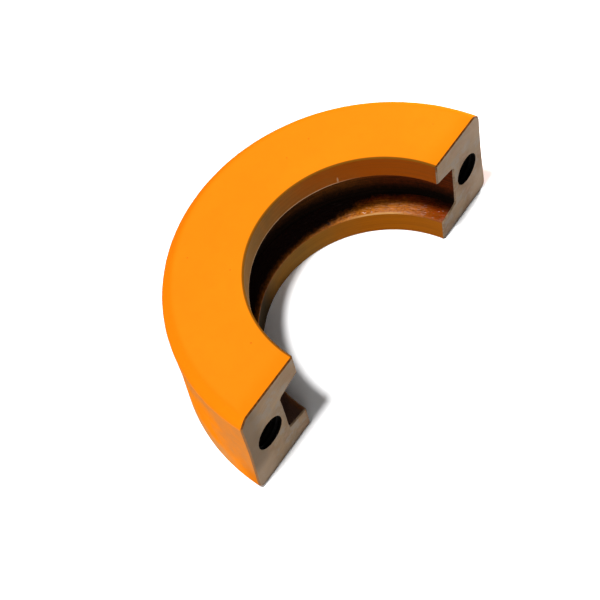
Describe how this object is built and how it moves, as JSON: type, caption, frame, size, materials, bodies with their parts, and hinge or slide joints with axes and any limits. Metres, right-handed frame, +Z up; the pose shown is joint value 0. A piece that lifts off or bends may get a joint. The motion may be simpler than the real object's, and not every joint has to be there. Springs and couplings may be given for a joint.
{
  "type": "split ring clamp half",
  "caption": "Half of a split ring clamp, painted cast iron, with a tapered inner groove, bare joint faces and blind bolt holes.",
  "frame": {"origin": "on the ground, below the middle of the bounding box; the ring's axis is the vertical line x = 0, y = -0.0526 m", "axes": "+Z up along the ring's axis, +X along the joint line from the left end to the right end, -Y out of the joint faces"},
  "size_m": [0.2048, 0.0996, 0.061],
  "materials": {
    "orange_enamel": "gloss orange enamel on cast iron, bare milled metal on the joint faces"
  },
  "bodies": {
    "root": {"clamp_half_casting": "orange_enamel"}
  },
  "joints": []
}
